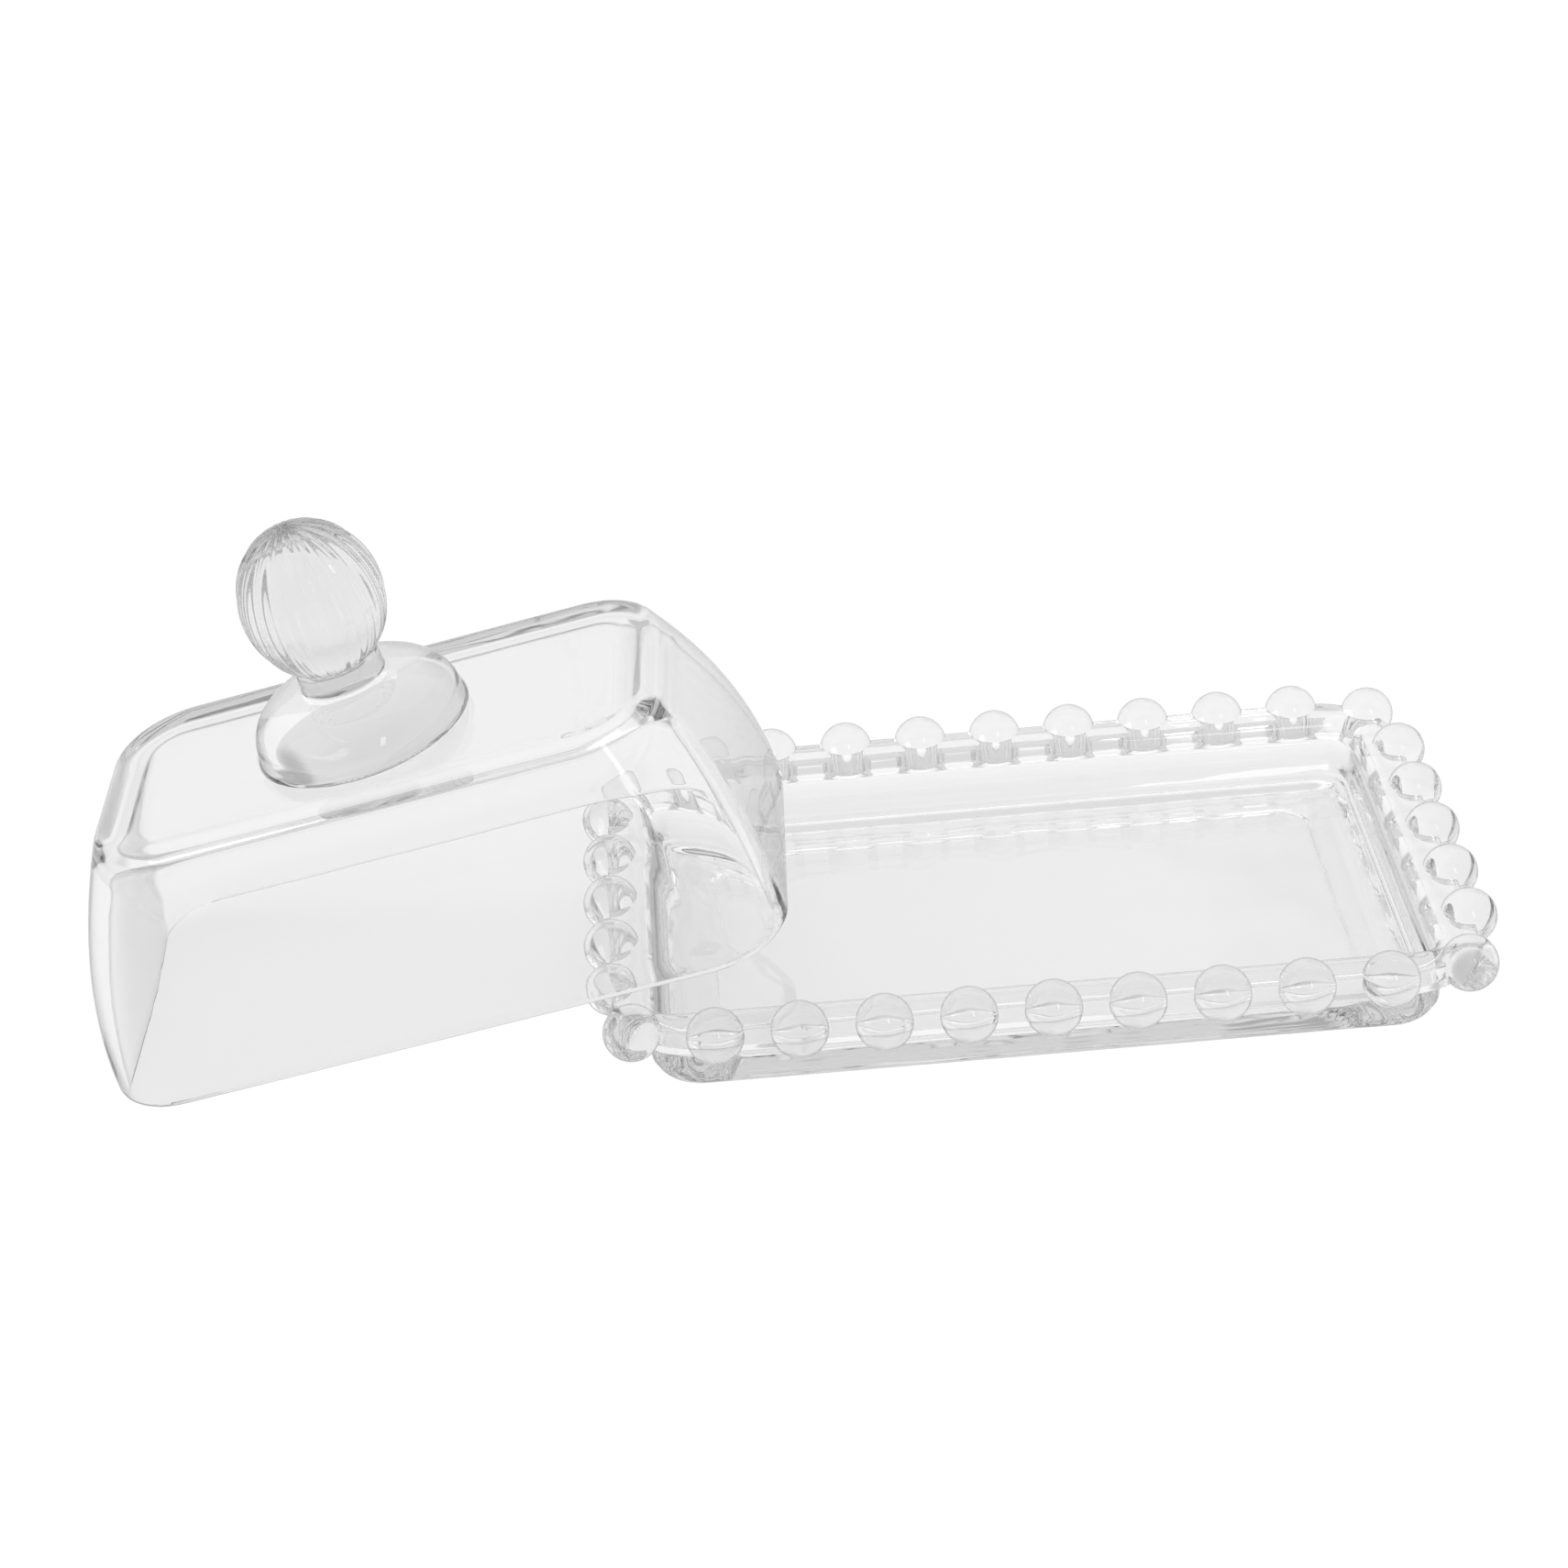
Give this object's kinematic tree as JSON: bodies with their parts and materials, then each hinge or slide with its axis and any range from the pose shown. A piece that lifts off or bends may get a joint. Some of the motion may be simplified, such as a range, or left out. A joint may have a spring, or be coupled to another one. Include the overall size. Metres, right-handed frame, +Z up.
{
  "type": "butter dish",
  "caption": "Clear pressed-glass butter dish: a shallow footed tray with a rim of glass balls, and a loaf-shaped cover with a fluted ball knob that lifts off.",
  "frame": {"origin": "centre of the tray's foot, on the surface it stands on", "axes": "+X along the tray, away from the end that the cover leans on; +Y towards the back long side; +Z up"},
  "size_m": [0.306, 0.1276, 0.1193],
  "materials": {
    "tray_glass": "clear pressed glass, fire-polished",
    "bead_glass": "clear glass balls, fire-polished",
    "cover_glass": "clear pressed glass, fire-polished",
    "knob_glass": "clear pressed glass with moulded flutes"
  },
  "bodies": {
    "tray": {"tray": "tray_glass", "rim_beads_front": "bead_glass", "rim_beads_back": "bead_glass", "rim_beads_left": "bead_glass", "rim_beads_right": "bead_glass", "rim_beads_corners": "bead_glass"},
    "cover": {"cover_shell": "cover_glass", "knob_foot": "knob_glass", "knob_collar": "knob_glass", "knob_ball": "knob_glass"}
  },
  "joints": [
    {"name": "cover_lift", "type": "slide", "parent": "tray", "child": "cover", "axis": [0, 0, 1], "range_m": [0, 0.1]}
  ]
}
